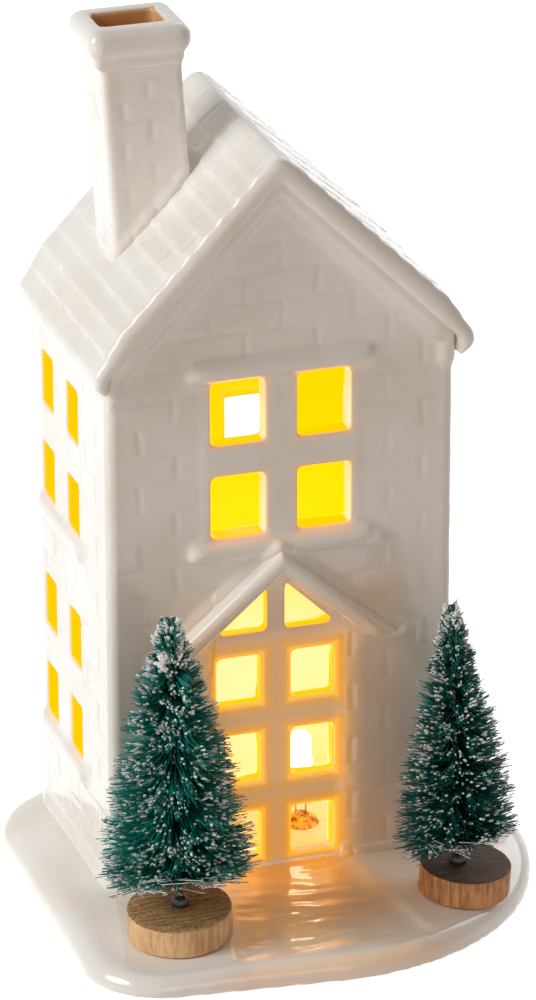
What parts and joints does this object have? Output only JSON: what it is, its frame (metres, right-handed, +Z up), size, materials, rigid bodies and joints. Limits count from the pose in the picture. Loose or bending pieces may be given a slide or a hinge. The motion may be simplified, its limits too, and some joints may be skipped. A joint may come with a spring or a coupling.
{
  "type": "ceramic christmas village house",
  "caption": "Hollow white ceramic house with open windows and a chimney on a snow base, lit by a push-in battery light, with bottle-brush trees on wooden discs.",
  "frame": {"origin": "under the middle of the base's outline, on the surface it stands on", "axes": "+Z up, -Y towards the viewer of the door, +X to that viewer's right"},
  "size_m": [0.1192, 0.116, 0.2114],
  "materials": {
    "glaze": "glossy white glaze over fired clay",
    "lamp_plastic": "moulded white plastic",
    "slider_plastic": "moulded black plastic",
    "contact_steel": "plated sheet steel and wire",
    "cell_steel": "plated cell can",
    "board_laminate": "brown board laminate",
    "led_resin": "clear warm lamp resin",
    "hot_melt": "amber hot-melt glue",
    "disc_wood": "sawn wood",
    "stem_wire": "twisted grey steel wire",
    "dark_glue": "dark glue bead",
    "bristle_fibre": "dark green fibre with white flocked tips"
  },
  "bodies": {
    "root": {"base_plinth": "glaze", "house_walls": "glaze", "roof": "glaze", "chimney": "glaze", "door_hood": "glaze", "left_tree_disc": "disc_wood", "left_tree_stem": "stem_wire", "left_tree_glue": "dark_glue", "left_tree_bristles": "bristle_fibre", "right_tree_disc": "disc_wood", "right_tree_stem": "stem_wire", "right_tree_glue": "dark_glue", "right_tree_bristles": "bristle_fibre"},
    "lamp_unit": {"lamp_housing": "lamp_plastic", "lamp_bottom_plate": "lamp_plastic", "plate_screws": "contact_steel", "coin_cell": "cell_steel", "positive_contact": "contact_steel", "negative_contact": "contact_steel", "circuit_board": "board_laminate", "switch_body": "contact_steel", "led_lens": "led_resin", "led_leads": "contact_steel", "led_glue": "hot_melt"},
    "cover": {"battery_cover": "lamp_plastic"},
    "slider": {"switch_slider": "slider_plastic"}
  },
  "joints": [
    {"name": "lamp_push_in", "type": "slide", "parent": "root", "child": "lamp_unit", "axis": [0, 0, -1], "range_m": [0, 0.045]},
    {"name": "cover_twist", "type": "hinge", "parent": "lamp_unit", "child": "cover", "pos_m": [0.0014, 0.0122, 0.001], "axis": [0, 0, 1], "range_deg": [0, 40]},
    {"name": "switch_slide", "type": "slide", "parent": "lamp_unit", "child": "slider", "axis": [0, -1, 0], "range_m": [0, 0.002]}
  ]
}
